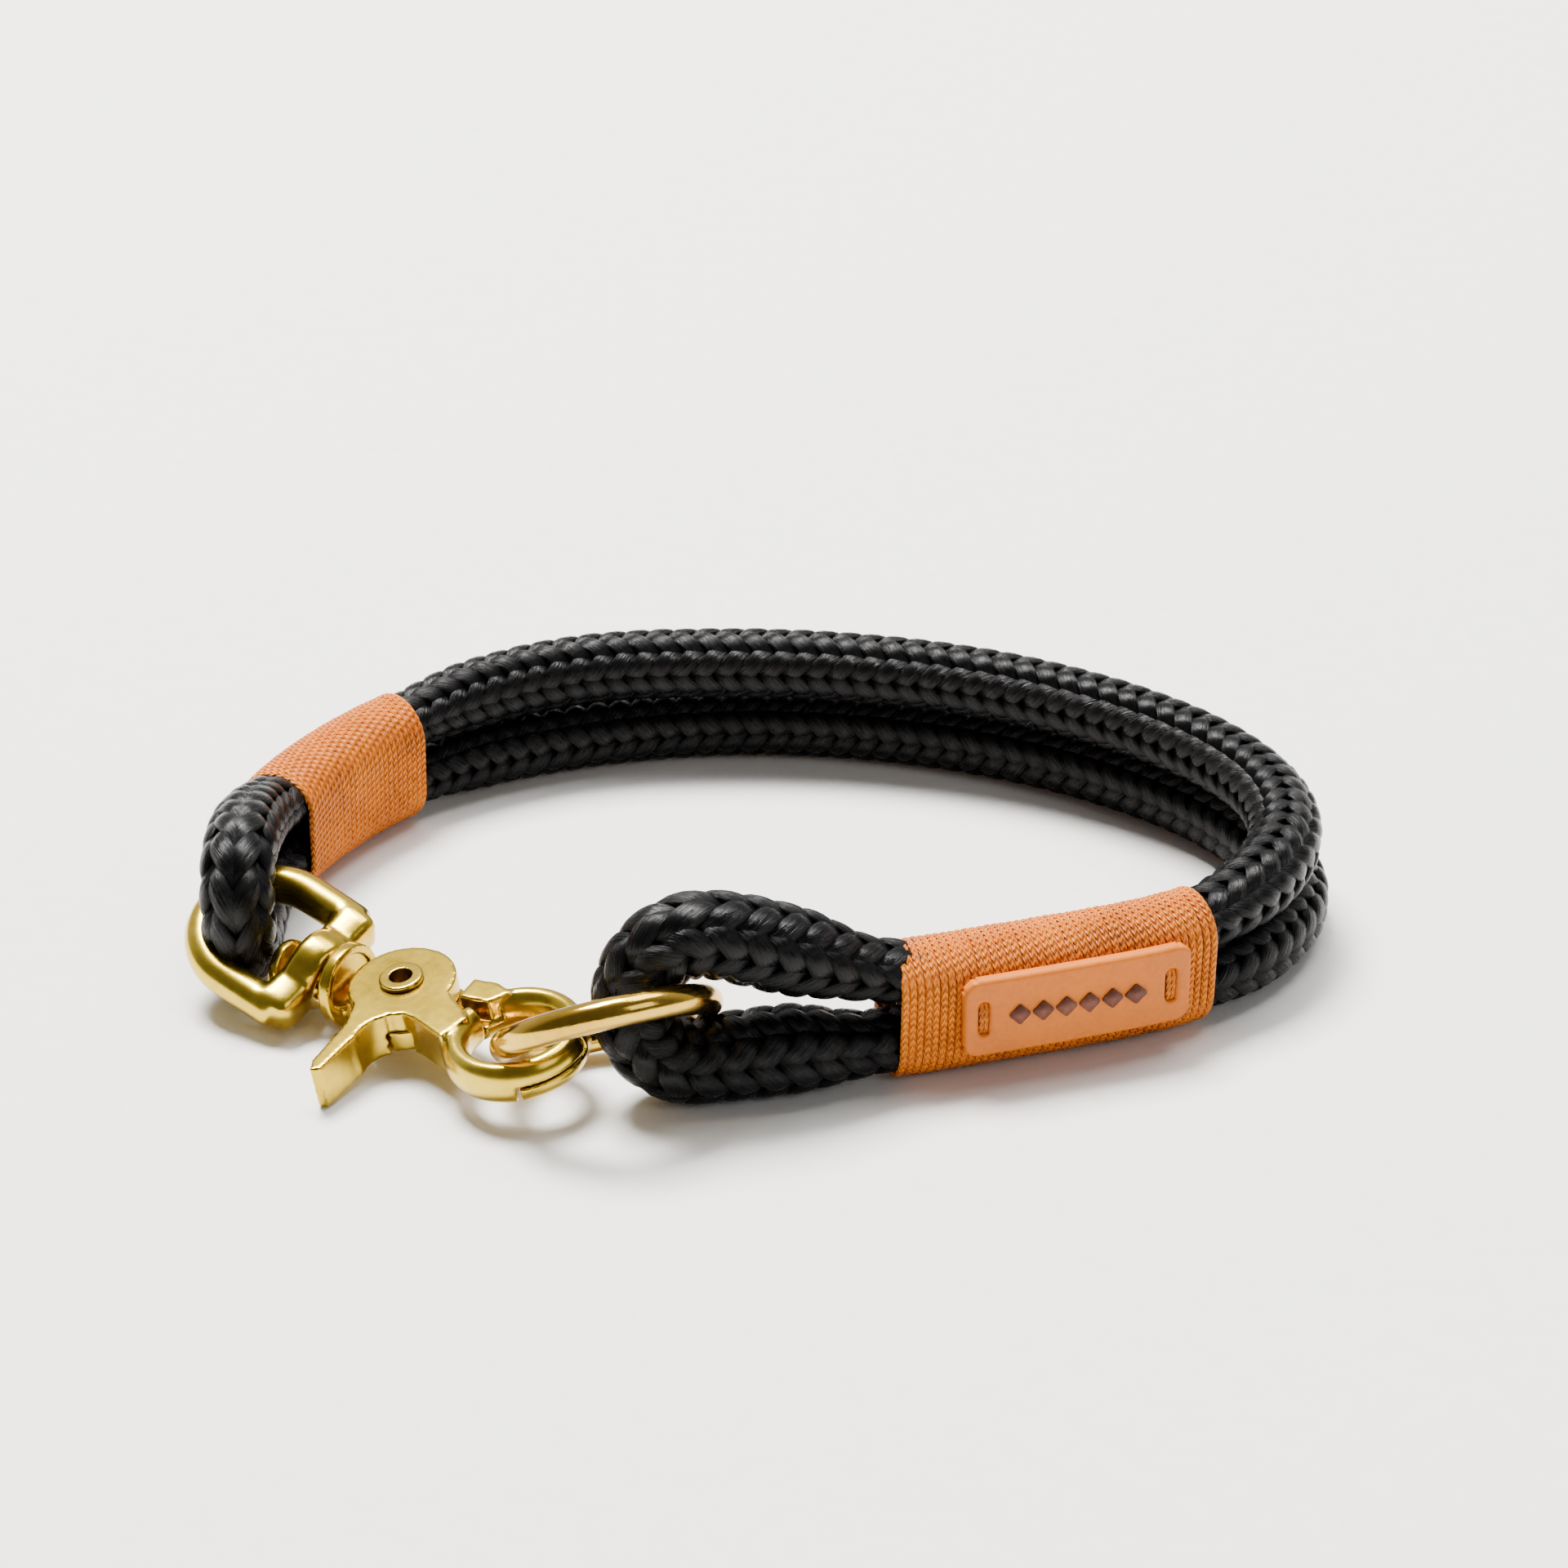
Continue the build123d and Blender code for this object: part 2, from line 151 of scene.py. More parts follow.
def spline_line(name, points, step):
    """Evenly spaced points on the smooth NURBS line of a route, all in millimetres."""
    curve = bpy.data.curves.new(name, "CURVE")
    curve.dimensions = "3D"
    curve.resolution_u = 32
    spline = curve.splines.new("NURBS")
    spline.points.add(len(points) - 1)
    for point, place in zip(spline.points, points):
        point.co = (*(Vector(place) * MM), 1.0)
    spline.order_u = 3
    spline.use_endpoint_u = True
    holder = bpy.data.objects.new(name, curve)
    scene.collection.objects.link(holder)
    bpy.context.view_layer.update()
    mesh = bpy.data.meshes.new_from_object(holder.evaluated_get(bpy.context.evaluated_depsgraph_get()))
    line = np.array([v.co for v in mesh.vertices], float) / MM
    bpy.data.objects.remove(holder)
    bpy.data.meshes.remove(mesh)
    gaps = np.linalg.norm(np.diff(line, axis=0), axis=1)
    keep = np.concatenate([[True], gaps > 1e-6])
    line = line[keep]
    walked = np.concatenate([[0], np.cumsum(np.linalg.norm(np.diff(line, axis=0), axis=1))])
    count = int(round(walked[-1] / step)) + 1
    at = np.linspace(0, walked[-1], count)
    return np.stack([np.interp(at, walked, line[:, c]) for c in range(3)], -1), at


def unit(v):
    return v / np.linalg.norm(v, axis=-1, keepdims=True)


def carried_frames(line):
    """Tangents and two crosswise directions that never twist about the line."""
    tangent = unit(np.gradient(line, axis=0))
    side = np.zeros_like(line)
    side[0] = unit(np.cross(tangent[0], (0, 0, 1)))
    for i in range(1, len(line)):
        s = side[i - 1] - tangent[i] * np.dot(side[i - 1], tangent[i])
        side[i] = s / np.linalg.norm(s)
    return tangent, side, np.cross(tangent, side)


# ---- material tools -----------------------------------------------------------------------------
class Shader:
    """A small wrapper that keeps node trees readable."""

    def __init__(self, name):
        self.material = bpy.data.materials.new(name)
        self.material.use_nodes = True
        self.nodes = self.material.node_tree.nodes
        self.links = self.material.node_tree.links
        self.skin = self.nodes["Principled BSDF"]

    def add(self, kind):
        return self.nodes.new(kind)

    def join(self, source, target):
        self.links.new(source, target)

    def shine(self, level):
        self.skin.inputs["Specular IOR Level"].default_value = level

    def places(self, kind, scale=(1, 1, 1)):
        coords = self.add("ShaderNodeTexCoord")
        mapping = self.add("ShaderNodeMapping")
        mapping.inputs["Scale"].default_value = scale
        self.join(coords.outputs[kind], mapping.inputs["Vector"])
        return mapping.outputs["Vector"]

    def noise(self, where, scale, detail=3.0, rough=0.55):
        node = self.add("ShaderNodeTexNoise")
        node.inputs["Scale"].default_value = scale
        node.inputs["Detail"].default_value = detail
        node.inputs["Roughness"].default_value = rough
        self.join(where, node.inputs["Vector"])
        return node.outputs["Fac"]

    def ramp(self, value, stops):
        node = self.add("ShaderNodeValToRGB")
        while len(node.color_ramp.elements) < len(stops):
            node.color_ramp.elements.new(0.5)
        for element, (place, colour) in zip(node.color_ramp.elements, stops):
            element.position = place
            element.color = (*colour, 1.0)
        self.join(value, node.inputs["Fac"])
        return node.outputs["Color"]

    def spread(self, value, low, high):
        node = self.add("ShaderNodeMapRange")
        node.inputs["To Min"].default_value = low
        node.inputs["To Max"].default_value = high
        self.join(value, node.inputs["Value"])
        return node.outputs["Result"]

    def maths(self, operation, a, b=None):
        node = self.add("ShaderNodeMath")
        node.operation = operation
        for socket, value in zip(node.inputs, (a, b)):
            if value is None:
                continue
            if isinstance(value, (int, float)):
                socket.default_value = value
            else:
                self.join(value, socket)
        return node.outputs["Value"]

    def bump(self, height, strength, distance, under=None):
        node = self.add("ShaderNodeBump")
        node.inputs["Strength"].default_value = strength
        node.inputs["Distance"].default_value = distance
        self.join(height, node.inputs["Height"])
        if under is not None:
            self.join(under, node.inputs["Normal"])
        return node.outputs["Normal"]


def rope_material():
    s = Shader("rope_fibre")
    fine = s.noise(s.places("UV", (9, 0.05, 1)), 3.0, 4, 0.7)
    coarse = s.noise(s.places("UV", (4, 0.04, 1)), 2.0, 2, 0.5)
    patchy = s.noise(s.places("Object"), 160.0, 3, 0.6)
    tone = s.maths("ADD", s.maths("MULTIPLY", fine, 0.6), s.maths("MULTIPLY", patchy, 0.4))
    colour = s.ramp(tone, [(0.36, (0.0002, 0.0002, 0.0003)), (0.55, (0.0012, 0.0012, 0.0015)),
                           (0.72, (0.006, 0.0064, 0.0078))])
    s.join(colour, s.skin.inputs["Base Color"])
    s.join(s.spread(fine, 0.2, 0.36), s.skin.inputs["Roughness"])
    first = s.bump(coarse, 0.4, 0.0002)
    s.join(s.bump(fine, 0.8, 0.0003, first), s.skin.inputs["Normal"])
    s.shine(0.15)
    return s.material


def twine_material():
    s = Shader("twine_fibre")
    coords = s.add("ShaderNodeTexCoord")
    split = s.add("ShaderNodeSeparateXYZ")
    s.join(coords.outputs["UV"], split.inputs["Vector"])
    round_way, along = split.outputs["X"], split.outputs["Y"]
    quarter = s.maths("FRACT", s.maths("MULTIPLY", round_way, 4.0))
    fold = s.maths("ABSOLUTE", s.maths("SUBTRACT", quarter, 0.5))
    slant = s.maths("ADD", s.maths("MULTIPLY", along, 1.0), s.maths("MULTIPLY", fold, 1.2))
    braid = s.maths("PINGPONG", slant, 0.5)
    grain = s.noise(s.places("Object"), 900.0, 3, 0.6)
    patchy = s.noise(s.places("Object"), 90.0, 2, 0.5)
    uneven = s.maths("MULTIPLY", s.maths("ADD", grain, patchy), 0.36)
    # The colour follows the braid's height, as the bump does: darker down in the creases between plies and
    # paler on their crowns. This is painted shade and painted highlight. The grain and patch noise added on top
    # is random tone of the twine.
    tone = s.maths("ADD", s.maths("MULTIPLY", braid, 0.55), uneven)
    colour = s.ramp(tone, [(0.22, (0.13, 0.022, 0.0)), (0.42, (0.58, 0.13, 0.0)), (0.66, (0.88, 0.25, 0.0))])
    s.join(colour, s.skin.inputs["Base Color"])
    s.join(s.spread(grain, 0.34, 0.6), s.skin.inputs["Roughness"])
    first = s.bump(braid, 1.0, 0.0005)
    s.join(s.bump(grain, 0.35, 0.00008, first), s.skin.inputs["Normal"])
    s.shine(0.3)
    return s.material


def rubber_material(name, dark, mid, light, gloss=(0.45, 0.62)):
    s = Shader(name)
    grain = s.noise(s.places("Object"), 1400.0, 4, 0.6)
    patchy = s.noise(s.places("Object"), 130.0, 3, 0.55)
    tone = s.maths("ADD", s.maths("MULTIPLY", grain, 0.45), s.maths("MULTIPLY", patchy, 0.55))
    s.join(s.ramp(tone, [(0.3, dark), (0.5, mid), (0.72, light)]), s.skin.inputs["Base Color"])
    s.join(s.spread(patchy, *gloss), s.skin.inputs["Roughness"])
    s.join(s.bump(grain, 0.35, 0.00006, s.bump(patchy, 0.2, 0.00012)), s.skin.inputs["Normal"])
    s.shine(0.28)
    return s.material


def metal_material(name, deep, mid, pale, gloss=(0.1, 0.24), pits=0.25):
    s = Shader(name)
    where = s.places("Object")
    cloudy = s.noise(where, 60.0, 4, 0.6)
    fine = s.noise(where, 900.0, 4, 0.6)
    pit = s.add("ShaderNodeTexVoronoi")
    pit.inputs["Scale"].default_value = 1500.0
    s.join(where, pit.inputs["Vector"])
    hollow = s.maths("MINIMUM", pit.outputs["Distance"], 0.25)
    worn = s.maths("ADD", s.maths("MULTIPLY", cloudy, 0.75), s.maths("MULTIPLY", fine, 0.25))
    s.join(s.ramp(worn, [(0.3, deep), (0.5, mid), (0.7, pale)]), s.skin.inputs["Base Color"])
    s.join(s.spread(worn, *gloss), s.skin.inputs["Roughness"])
    soft = s.bump(cloudy, 0.12, 0.0003)
    s.join(s.bump(hollow, pits, 0.00005, s.bump(fine, 0.08, 0.00005, soft)), s.skin.inputs["Normal"])
    s.skin.inputs["Metallic"].default_value = 1.0
    return s.material


rope_fibre = rope_material()
twine_fibre = twine_material()
label_rubber = rubber_material("label_rubber", (0.46, 0.11, 0.0), (0.56, 0.135, 0.0), (0.64, 0.16, 0.0))
relief_rubber = rubber_material("relief_rubber", (0.07, 0.022, 0.012), (0.13, 0.042, 0.024), (0.2, 0.07, 0.042))
cast_brass = metal_material("cast_brass", (0.42, 0.28, 0.022), (0.58, 0.40, 0.038), (0.72, 0.54, 0.075),
                            (0.16, 0.3), 0.5)
ring_brass = metal_material("ring_brass", (0.48, 0.28, 0.03), (0.64, 0.40, 0.055), (0.78, 0.54, 0.11),
                            (0.08, 0.24), 0.4)
rivet_brass = metal_material("rivet_brass", (0.46, 0.31, 0.03), (0.62, 0.45, 0.06), (0.76, 0.58, 0.11),
                             (0.14, 0.28))
spring_steel = metal_material("spring_steel", (0.30, 0.30, 0.31), (0.42, 0.42, 0.43), (0.52, 0.52, 0.53))
core_yarn = rubber_material("core_yarn", (0.02, 0.02, 0.024), (0.04, 0.04, 0.046), (0.07, 0.07, 0.08))

# ---- rope: sixteen braided carriers -------------------------------------------------------------
LAY = 26.5                # one full turn of a carrier on the long runs
BIGHT_LAY = 31.0          # the braid opens where the rope is bent and unloaded
CARRIERS = 8              # each way
SWELL = 0.17              # of the radius, where the bight is slack
STRAND_OVERLAP = 1.12     # of a carrier's share of the way round
STRAND_T = 1.4
WEAVE_DEPTH = 1.3         # between a carrier's middle when over and when under
WEAVE_SHARPNESS = 1.6     # how quickly a carrier dives
OVER_R = ROPE_D / 2 - STRAND_T / 2
UNDER_R = OVER_R - WEAVE_DEPTH

line, walked = spline_line("rope_line", ROUTE, 0.6)
tangent, side, rise = carried_frames(line)


def nearest(place, low_strand):
    """Index of the rope sample nearest a point seen from above, on the lower or the upper strand."""
    away = np.linalg.norm(line[:, :2] - np.array(place), axis=1)
    away[(line[:, 2] < 9.0) != low_strand] = 1e9
    return int(np.argmin(away))


def whipped_line(first, last, low_strand, start, end):
    """The middle line of both seized strands, and where the twine starts and ends along it."""
    a, b = nearest(first, low_strand), nearest(last, low_strand)
    flat = line[a:b + 1].copy()
    flat[:, 2] = WHIP_H / 2
    along = np.concatenate([[0], np.cumsum(np.linalg.norm(np.diff(flat, axis=0), axis=1))])
    return flat, along, start, end if end > 0 else along[-1] + end


def mid(i):
    return [(ROUTE[i][c] + ROUTE[i + 1][c]) / 2 for c in (0, 1)]


hook_whip = whipped_line(mid(11), mid(13), True, 1.0, -2.0)
ring_whip = whipped_line(mid(33), mid(36), False, 3.6, 45.6)


def held(points):
    """How firmly each point of the rope is squeezed by a whipping, 0 to 1."""
    weight = np.zeros(len(points))
    for flat, along, start, end in (hook_whip, ring_whip):
        inside = flat[(along >= start) & (along <= end)]
        away = np.linalg.norm(points[:, None, :2] - inside[None, :, :2], axis=2).min(axis=1)
        t = np.clip(1 - (away - 1.0) / 13.0, 0, 1)
        weight = np.maximum(weight, t * t * (3 - 2 * t))
    return weight


squeeze = held(line)


def opened(s):
    """The braid's lay along the rope, longer in the two bights."""
    lay = np.full(len(s), LAY)
    hook = (nearest(mid(13), True), nearest(mid(22), False))
    ring = (nearest(mid(35), False), nearest(mid(43), True))
    for first, last in (hook, ring):
        edge = np.minimum(s - s[first], s[last] - s) / 12.0
        lay += (BIGHT_LAY - LAY) * np.clip(edge + 0.5, 0, 1)
    return lay


def swelled(s):
    """How much the loose braid swells in the two legs of the ring-side bight."""
    start, end = s[nearest(mid(35), False)], s[nearest(mid(43), True)]
    leg = np.clip((s - start) / (end - start), 0, 1) * 2
    return 1 + SWELL * np.abs(np.sin(pi * leg)) ** 0.8 * (1 - squeeze)


lays = opened(walked)
fullness = swelled(walked)
line[:, 2] += np.clip(LOW * fullness - line[:, 2], 0, None)     # the swollen leg still rests on the floor
turned = np.concatenate([[0], np.cumsum(np.diff(walked) / lays[1:])])


def on_rope(s, angle, radius):
    """Points at a distance along the rope, an angle round it and a radius out from its middle line."""
    def along(values):
        return np.stack([np.interp(s, walked, values[:, c]) for c in range(3)], -1)

    centre, t, n, b = along(line), unit(along(tangent)), unit(along(side)), unit(along(rise))
    radius = radius * np.interp(s, walked, fullness)
    out = (np.cos(angle)[..., None] * n + np.sin(angle)[..., None] * b) * radius[..., None]
    grip = np.interp(s, walked, squeeze)[..., None]
    level = np.cross(t, (0, 0, 1.0))
    level = level / np.maximum(np.linalg.norm(level, axis=-1, keepdims=True), 1e-3)
    up = np.cross(level, t)
    narrow = (out * level).sum(-1, keepdims=True) * (1 - SEIZED_W / ROPE_D)
    flat = (out * up).sum(-1, keepdims=True) * (1 - SEIZED_H / ROPE_D)
    return centre + out - grip * (narrow * level + flat * up)


def strand(number, way):
    """One carrier's flat bundle of filaments, weaving over two and under two."""
    s = walked.copy()
    turn = number / CARRIERS
    angle = tau * (way * turned + turn)
    crossings = 2 * CARRIERS * turned
    if way > 0:
        phase = crossings + 2 * number - 1
    else:
        phase = 2 * number - crossings - 3
    swing = np.tanh(WEAVE_SHARPNESS * np.cos(tau * phase / 4)) / np.tanh(WEAVE_SHARPNESS)
    wander = np.array([noise.noise((0.05 * x, 7.3 * number, 3.1 * way)) for x in s])
    radius = (OVER_R + UNDER_R) / 2 + (OVER_R - UNDER_R) / 2 * swing + 0.05 * wander
    climb = np.arctan2(tau * OVER_R * fullness, lays)
    width = STRAND_OVERLAP * lays / CARRIERS * np.sin(climb)
    around = np.arange(18) * tau / 18
    across = np.sign(np.cos(around)) * np.abs(np.cos(around)) ** 0.75 / 2
    thick = np.sign(np.sin(around)) * np.abs(np.sin(around)) ** 0.8 * STRAND_T / 2
    breathe = 1 + 0.06 * np.array([noise.noise((0.09 * x, 2.1 * number, 9.7 * way)) for x in s])
    offset = across[None, :] * (width * breathe)[:, None]
    s_at = np.clip(s[:, None] - way * offset * np.sin(climb)[:, None], 0, walked[-1])
    angle_at = angle[:, None] + offset * np.cos(climb)[:, None] / (radius * fullness)[:, None]
    radius_at = radius[:, None] + thick[None, :]
    return on_rope(s_at, angle_at, radius_at)


tubes = [strand(k, way) for way in (1, -1) for k in range(CARRIERS)]
strand_scale = np.hypot(1, tau * OVER_R / LAY)
sheath = link(swept_mesh("rope_sheath", tubes, [walked * strand_scale] * len(tubes)), "rope_sheath", rope_fibre)
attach(sheath, "collar")
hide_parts("rope_lower_run", "rope_hook_bight", "rope_upper_run", "rope_ring_bight")


# ---- whippings ----------------------------------------------------------------------------------
def stadium_point(turns, width, height):
    """Point on a stadium outline at a fraction of its way round, from the middle of its outer side."""
    radius = width / 2
    straight = height - width
    total = 2 * straight + tau * radius
    d = (turns % 1.0) * total
    x = np.empty_like(d)
    z = np.empty_like(d)
    a = d < straight / 2
    x[a], z[a] = radius, d[a]
    top = (~a) & (d < straight / 2 + pi * radius)
    angle = (d[top] - straight / 2) / radius
    x[top], z[top] = radius * np.cos(angle), straight / 2 + radius * np.sin(angle)
    far = (d >= straight / 2 + pi * radius) & (d < 1.5 * straight + pi * radius)
    x[far], z[far] = -radius, straight / 2 - (d[far] - straight / 2 - pi * radius)
    under = (d >= 1.5 * straight + pi * radius) & (d < 1.5 * straight + tau * radius)
    angle = pi + (d[under] - 1.5 * straight - pi * radius) / radius
    x[under], z[under] = radius * np.cos(angle), -straight / 2 + radius * np.sin(angle)
    last = d >= 1.5 * straight + tau * radius
    x[last], z[last] = radius, -straight / 2 + (d[last] - 1.5 * straight - tau * radius)
    return x, z


def along_whip(whip, s):
    """Middle point, forward, outward and up directions along a whipping."""
    flat, along, _, _ = whip
    centre = np.stack([np.interp(s, along, flat[:, c]) for c in range(3)], -1)
    ahead = unit(np.stack([np.interp(s, along, np.gradient(flat[:, c])) for c in range(3)], -1))
    outward = np.cross(ahead, (0, 0, 1.0))
    return centre, ahead, outward, np.broadcast_to(np.array((0, 0, 1.0)), ahead.shape)


def whipping(name, whip, node, seed):
    _, _, start, end = whip
    turns = int((end - start) / TWINE_PITCH)
    t = np.arange(0, turns, 1 / 64)
    wobble = np.array([noise.noise((0.9 * x, seed, 0.3)) for x in t])
    lift = np.array([noise.noise((2.3 * x, seed + 5, 0.7)) for x in t])
    s = start + (end - start) * t / turns + 0.09 * wobble
    x, z = stadium_point(t, WHIP_W - TWINE_D, WHIP_H - TWINE_D)
    centre, ahead, outward, up = along_whip(whip, s)
    swell = 1 + 0.008 * lift
    path = centre + outward * (x * swell)[:, None] + up * (z * swell)[:, None]
    path[:, 2] = np.maximum(path[:, 2], TWINE_D / 2 + 0.05)
    go = unit(np.gradient(path, axis=0))
    across = unit(np.cross(go, ahead))
    binormal = np.cross(go, across)
    around = np.arange(10) * tau / 10
    half = TWINE_D / 2
    ring = across[:, None, :] * (np.cos(around) * half)[None, :, None]
    ring = ring + binormal[:, None, :] * (np.sin(around) * half * 1.04)[None, :, None]
    walked_far = np.concatenate([[0], np.cumsum(np.linalg.norm(np.diff(path, axis=0), axis=1))])
    coil = link(swept_mesh(name, [path[:, None, :] + ring], [walked_far]), name, twine_fibre)
    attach(coil, "collar")
    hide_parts(node)


whipping("whipping_coil_hook", hook_whip, "whipping_hook_side", 1.5)
whipping("whipping_coil_ring", ring_whip, "whipping_ring_side", 8.5)


# ---- label --------------------------------------------------------------------------------------
def on_label(points):
    """Flat label points (along, up, out), in millimetres, laid on the whipping's front side."""
    points = np.asarray(points, float)
    centre, _, back, up = along_whip(ring_whip, LABEL_START + points[:, 0])
    rise = LABEL_Z - WHIP_H / 2 + points[:, 1]
    return centre - back * (WHIP_W / 2 + points[:, 2])[:, None] + up * rise[:, None]


def label_piece(name, bm, material, nodes):
    mesh = bpy.data.meshes.new(name)
    bm.to_mesh(mesh)
    bm.free()
    laid = on_label([v.co for v in mesh.vertices]) * MM
    mesh.vertices.foreach_set("co", laid.astype(np.float32).ravel())
    mesh.update()
    obj = link(mesh, name, material)
    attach(obj, "collar")
    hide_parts(*nodes)


def rounded_plate(length, height, corner, thick, slots):
    """A plate with rounded corners, softened edges and slots, cut from a fine grid."""
    bm = bmesh.new()
    step = 0.25
    nx, ny = int(length / step), int(height / step)
    grid = {}

    def inside(x, y):
        dx = abs(x - length / 2) - (length / 2 - corner)
        dy = abs(y) - (height / 2 - corner)
        edge = corner - np.hypot(max(dx, 0), max(dy, 0)) if dx > 0 or dy > 0 else corner + min(-dx, -dy)
        for sx, half_w, half_h in slots:
            gap = np.hypot(x - sx, max(abs(y) - half_h + half_w, 0)) - half_w
            edge = min(edge, gap)
        return edge

    def crown(x, y):
        edge = max(0.0, min(inside(x, y), 0.5))
        return thick * (0.62 + 0.38 * np.sqrt(1 - (1 - edge / 0.5) ** 2))

    for i in range(nx + 1):
        for j in range(ny + 1):
            x, y = i * length / nx, j * height / ny - height / 2
            if inside(x, y) > -0.06:
                grid[i, j] = (bm.verts.new((x, y, crown(x, y))), bm.verts.new((x, y, 0.05)))
    for i in range(nx):
        for j in range(ny):
            corners = [(i, j), (i + 1, j), (i + 1, j + 1), (i, j + 1)]
            if all(c in grid for c in corners):
                bm.faces.new([grid[c][0] for c in corners])
                bm.faces.new([grid[c][1] for c in reversed(corners)])
    rims = [e for e in bm.edges if len(e.link_faces) == 1]
    twin = {}
    for top, bottom in grid.values():
        twin[top] = bottom
    for edge in rims:
        a, b = edge.verts
        if a in twin and b in twin and bm.edges.get((twin[a], twin[b])):
            bm.faces.new((b, a, twin[a], twin[b]))
    bmesh.ops.recalc_face_normals(bm, faces=bm.faces)
    loose = [v for v in bm.verts if not v.link_faces]
    bmesh.ops.delete(bm, geom=loose, context="VERTS")
    return bm


length, height, thick = LABEL
SLOTS = [(2.6, 0.65, 2.3), (length - 2.6, 0.65, 2.3)]
LABEL_CORNER = 2.0
MARK_SIDE = 2.1
MARK_T = 0.7
TIE_R = 0.33
plate = rounded_plate(length, height, LABEL_CORNER, thick, SLOTS)
label_piece("label_strip", plate, label_rubber, ["label_plate"])

marks = bmesh.new()
for k in range(RELIEF_COUNT):
    middle = length / 2 + (k - (RELIEF_COUNT - 1) / 2) * RELIEF_STEP
    turn = Matrix.Translation((middle, 0, thick + 0.12)) @ Matrix.Rotation(radians(45), 4, "Z")
    bmesh.ops.create_cube(marks, size=1.0, matrix=turn @ Matrix.Diagonal((MARK_SIDE, MARK_SIDE, MARK_T, 1)))
bmesh.ops.bevel(marks, geom=marks.edges[:], offset=0.16, segments=3, affect="EDGES")
label_piece("label_marks", marks, relief_rubber, ["label_relief"])

ties = []
for middle, half_w, half_h in SLOTS:
    for shift in (-0.28, 0.28):
        y = np.linspace(-half_h - 0.1, half_h + 0.1, 28)
        bulge = thick * 0.75 * np.sqrt(np.clip(1 - (y / (half_h + 0.12)) ** 4, 0, 1))
        x = middle + shift + 0.03 * np.sin(4 * y)
        path = on_label(np.stack([x, y, bulge], -1))
        go = unit(np.gradient(path, axis=0))
        a = unit(np.cross(go, along_whip(ring_whip, LABEL_START + x)[1]))
        b = np.cross(go, a)
        around = np.arange(10) * tau / 10
        ring = a[:, None] * np.cos(around)[None, :, None] + b[:, None] * np.sin(around)[None, :, None]
        ties.append(path[:, None] + TIE_R * ring)
stitches = link(swept_mesh("label_ties", ties, [np.arange(28) * 0.17] * 4), "label_ties", twine_fibre)
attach(stitches, "collar")
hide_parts("label_stitches")


# ---- cast brass ---------------------------------------------------------------------------------
def cast(node, name, body, material, voxel, rounds, swell=0.0):
    """A casting with softened edges and blended corners, grown from its solid."""
    obj = bpy.data.objects.new(name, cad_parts[node].data.copy())
    obj.data.materials.clear()
    obj.data.materials.append(material)
    scene.collection.objects.link(obj)
    remesh = obj.modifiers.new("remesh", "REMESH")
    remesh.mode = "VOXEL"
    remesh.voxel_size = voxel * MM
    grow = obj.modifiers.new("grow", "DISPLACE")
    grow.mid_level = 0.0
    grow.strength = swell * MM
    soften = obj.modifiers.new("soften", "SMOOTH")
    soften.factor = 0.5
    soften.iterations = rounds
    finish_shape(obj)
    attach(obj, body)
    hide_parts(node)


def finish_shape(obj):
    """Turns an object's modifiers into its mesh."""
    bpy.context.view_layer.update()
    mesh = bpy.data.meshes.new_from_object(obj.evaluated_get(bpy.context.evaluated_depsgraph_get()))
    obj.modifiers.clear()
    obj.data = mesh
    mesh.shade_smooth()


cast("swivel_eye", "eye_casting", "collar", cast_brass, 0.24, 70, 0.3)
cast("snap_body", "body_casting", "snap", cast_brass, 0.18, 18)
cast("trigger", "trigger_casting", "trigger", cast_brass, 0.18, 16)
cast("rivet", "rivet_tube", "snap", rivet_brass, 0.1, 5)
cast("o_ring", "ring_wire", "ring", ring_brass, 0.2, 3)


def dress(node, material):
    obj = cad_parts[node]
    obj.data.materials.clear()
    obj.data.materials.append(material)


dress("torsion_spring", spring_steel)
dress("rope_core", core_yarn)

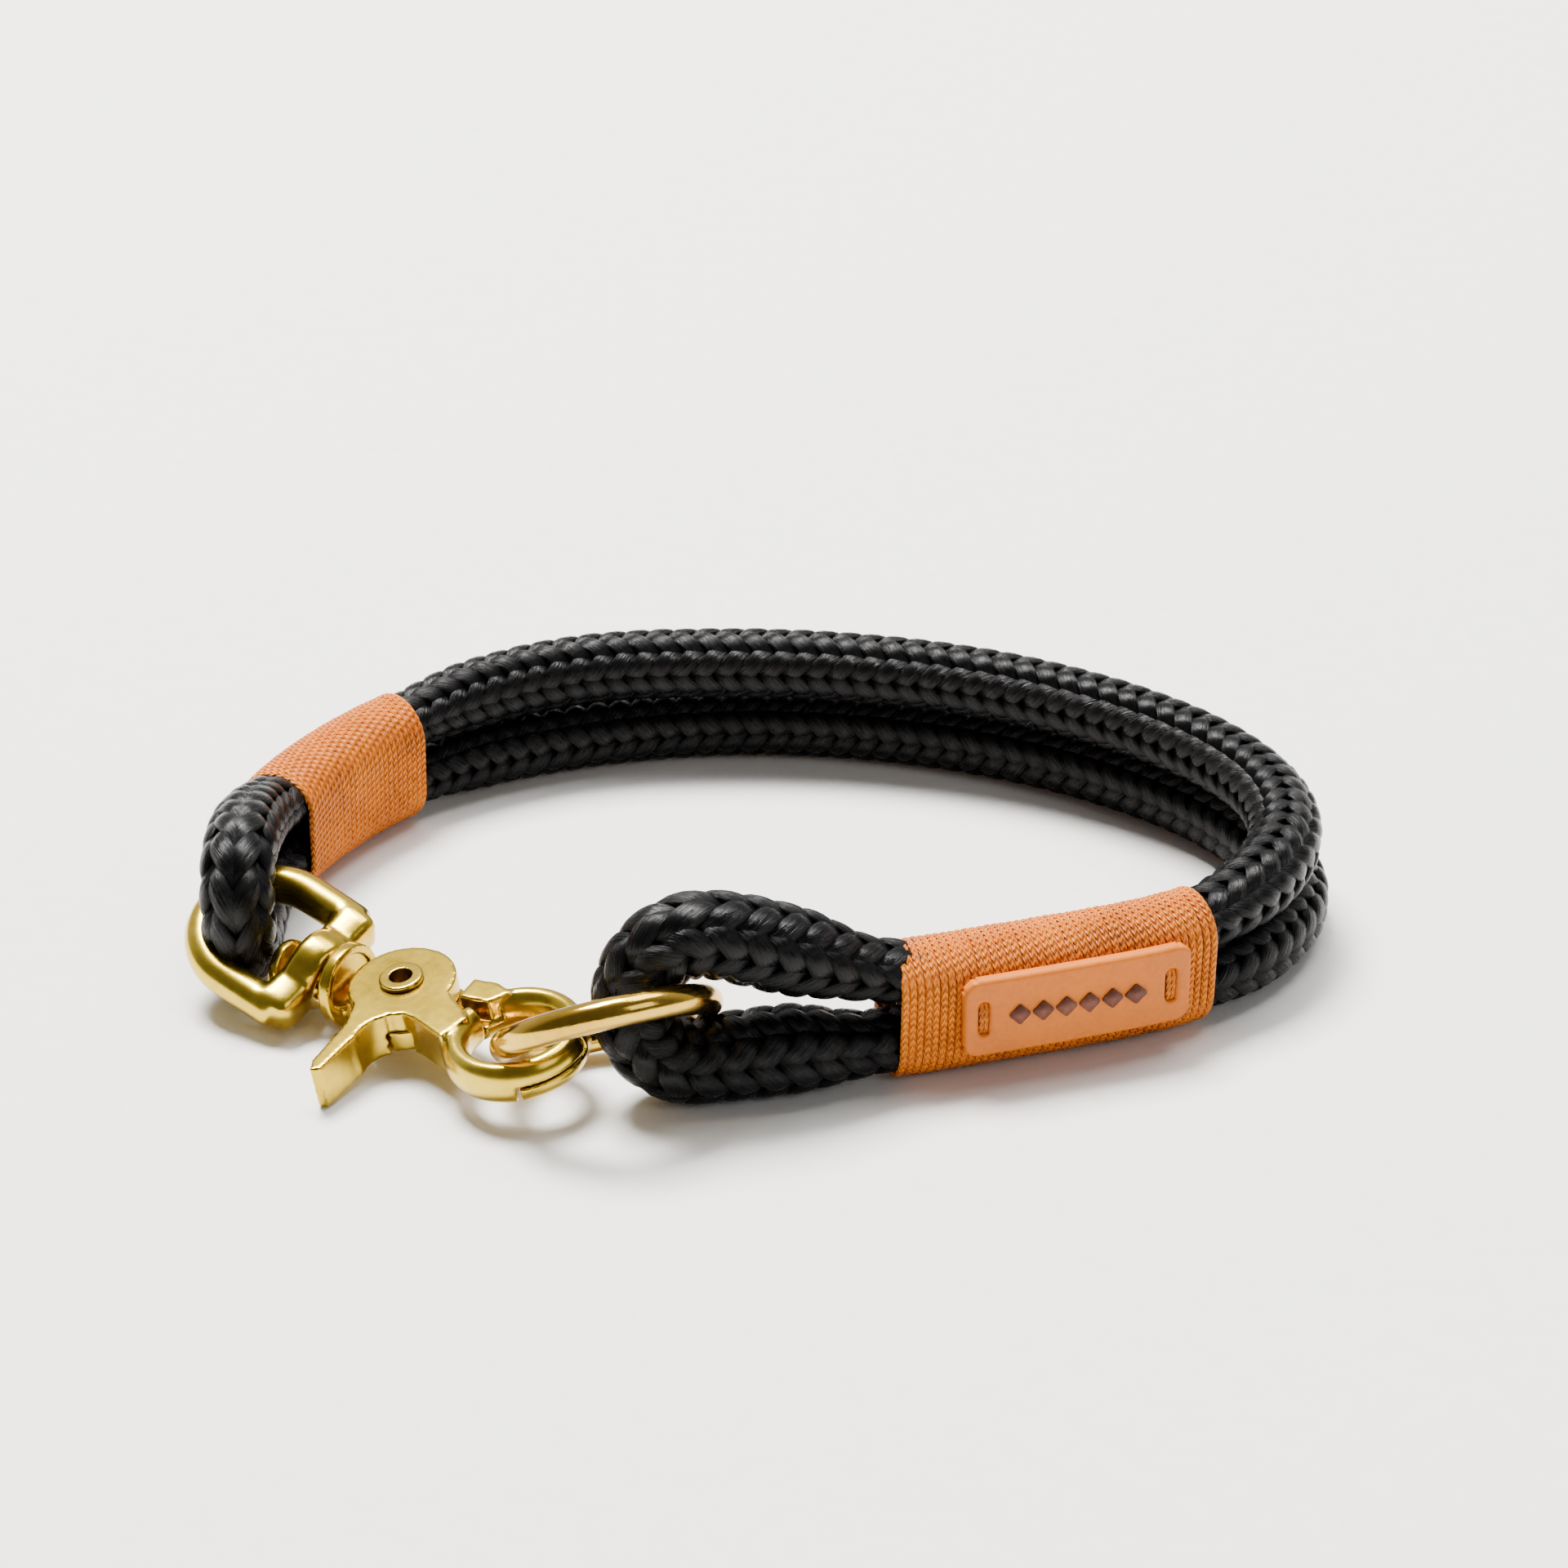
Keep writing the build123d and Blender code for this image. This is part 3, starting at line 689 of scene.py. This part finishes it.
# ---- studio -------------------------------------------------------------------------------------
def floor_material():
    s = Shader("floor_paper")
    grain = s.noise(s.places("Object"), 240.0, 4, 0.6)
    s.join(s.ramp(grain, [(0.3, (0.80, 0.79, 0.77)), (0.7, (0.84, 0.83, 0.81))]), s.skin.inputs["Base Color"])
    s.join(s.bump(grain, 0.06, 0.0002), s.skin.inputs["Normal"])
    s.skin.inputs["Roughness"].default_value = 0.85
    return s.material


floor_mesh = bpy.data.meshes.new("floor")
FLOOR_REACH = 6.0
corners = [(x * FLOOR_REACH, y * FLOOR_REACH, 0) for x, y in ((-1, -1), (1, -1), (1, 1), (-1, 1))]
floor_mesh.from_pydata(corners, [], [(0, 1, 2, 3)])
floor = link(floor_mesh, "floor", floor_material())


AIM = Vector((0, 0, 0.01))


def lamp(name, place, size, power, colour=(1, 1, 1)):
    data = bpy.data.lights.new(name, "AREA")
    data.shape = "RECTANGLE"
    data.size, data.size_y = size
    data.energy = power
    data.color = colour
    obj = bpy.data.objects.new(name, data)
    scene.collection.objects.link(obj)
    obj.location = place
    obj.rotation_euler = (AIM - Vector(place)).to_track_quat("-Z", "Y").to_euler()


lamp("key", (-0.4, 0.6, 1.6), (0.65, 0.65), 125, (1.0, 0.975, 0.94))
lamp("top", (0.35, 0.5, 1.5), (1.0, 0.8), 24)
lamp("fill", (0.9, -0.9, 0.9), (0.7, 0.7), 4)

world = bpy.data.worlds.new("studio")
scene.world = world
world.use_nodes = True
sky = world.node_tree
where = sky.nodes.new("ShaderNodeTexCoord")
split = sky.nodes.new("ShaderNodeSeparateXYZ")
shade = sky.nodes.new("ShaderNodeValToRGB")
stops = [(0.0, 0.14), (0.42, 0.18), (0.60, 0.6), (1.0, 1.0)]
while len(shade.color_ramp.elements) < len(stops):
    shade.color_ramp.elements.new(0.5)
for element, (place, level) in zip(shade.color_ramp.elements, stops):
    element.position = place
    element.color = (level, level * 0.985, level * 0.96, 1)
lean = sky.nodes.new("ShaderNodeMath")
lean.operation = "MULTIPLY_ADD"
lean.inputs[1].default_value = 0.5
lean.inputs[2].default_value = 0.5
sky.links.new(where.outputs["Generated"], split.inputs["Vector"])
sky.links.new(split.outputs["Y"], lean.inputs[0])
sky.links.new(lean.outputs["Value"], shade.inputs["Fac"])
sky.links.new(shade.outputs["Color"], sky.nodes["Background"].inputs["Color"])
sky.nodes["Background"].inputs["Strength"].default_value = 1.0
